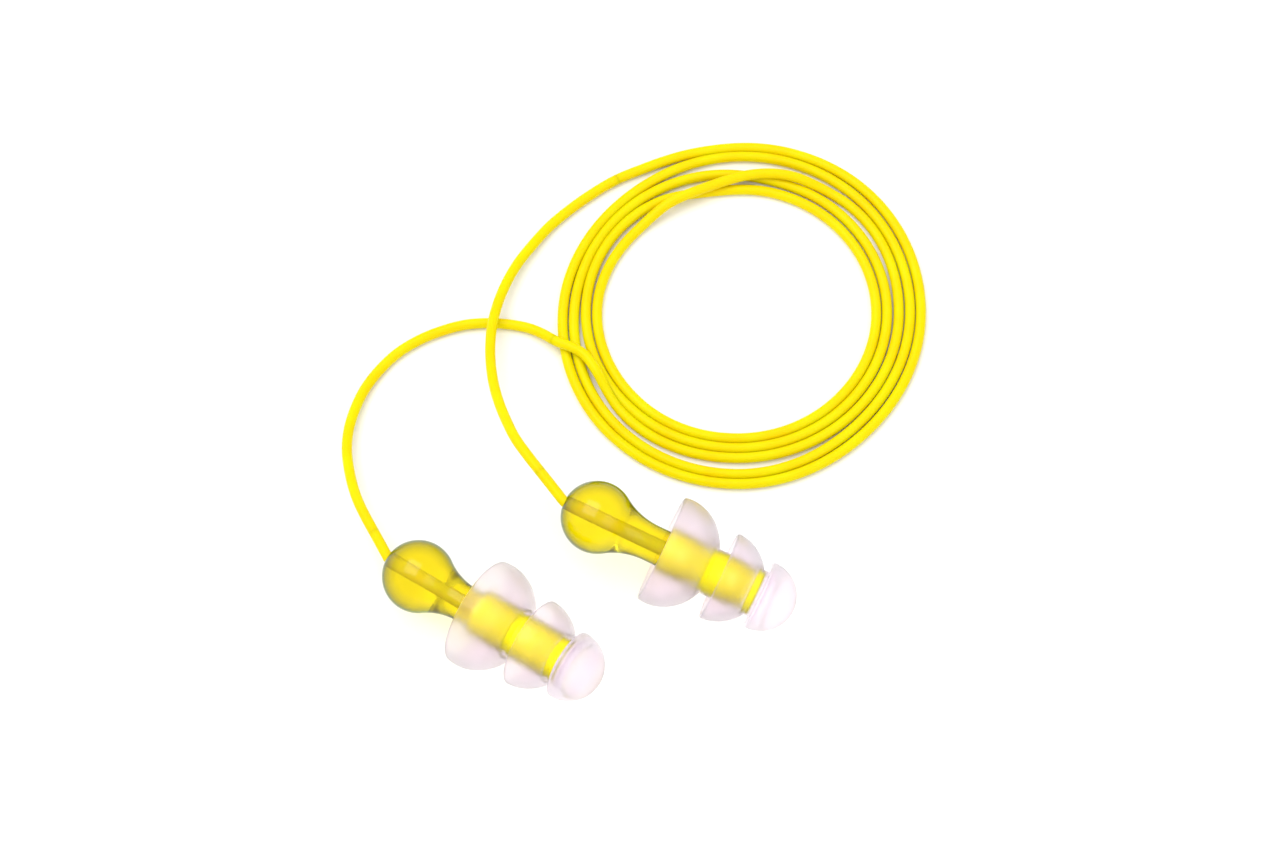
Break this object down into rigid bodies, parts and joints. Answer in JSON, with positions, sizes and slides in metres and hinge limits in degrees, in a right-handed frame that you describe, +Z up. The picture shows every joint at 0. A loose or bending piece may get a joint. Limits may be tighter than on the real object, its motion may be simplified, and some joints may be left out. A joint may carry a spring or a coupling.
{
  "type": "corded reusable flanged ear plugs",
  "caption": "Pair of soft flanged ear plugs with bulb grips, joined by a thin cord that is wound into a flat round coil.",
  "frame": {"origin": "middle of the two plugs' footprint on the surface they lie on", "axes": "+X along the longer side of the two plugs' footprint, from the bulbs to the tips; +Y from the plugs towards the coil; +Z up from the surface"},
  "size_m": [0.0644, 0.0677, 0.012],
  "materials": {
    "cord_vinyl": "glossy soft vinyl, slightly translucent",
    "grip_polymer": "clear yellow moulding, polished",
    "sleeve_elastomer": "milky clear soft elastomer, satin"
  },
  "bodies": {
    "root": {"cord_coil": "cord_vinyl", "cord_run_left": "cord_vinyl", "cord_run_right": "cord_vinyl"},
    "left_tail": {"cord_tail_left": "cord_vinyl"},
    "left_plug": {"grip_left": "grip_polymer", "sleeve_left": "sleeve_elastomer", "cord_core_left": "cord_vinyl"},
    "right_tail": {"cord_tail_right": "cord_vinyl"},
    "right_plug": {"grip_right": "grip_polymer", "sleeve_right": "sleeve_elastomer", "cord_core_right": "cord_vinyl"}
  },
  "joints": [
    {"name": "left_swing", "type": "hinge", "parent": "root", "child": "left_tail", "pos_m": [-0.02486, 0.01096, 0.00369], "axis": [0, 0, 1], "range_deg": [-45, 6]},
    {"name": "left_lift", "type": "hinge", "parent": "left_tail", "child": "left_plug", "pos_m": [-0.02221, 0.00494, 0.00461], "axis": [-0.549, -0.8358, 0], "range_deg": [0, 45]},
    {"name": "right_swing", "type": "hinge", "parent": "root", "child": "right_tail", "pos_m": [-0.0078, 0.0169, 0.0072], "axis": [0, 0, 1], "range_deg": [-5, 15]},
    {"name": "right_lift", "type": "hinge", "parent": "right_tail", "child": "right_plug", "pos_m": [-0.00349, 0.01001, 0.00848], "axis": [-0.3971, -0.9178, 0], "range_deg": [0, 45]}
  ]
}
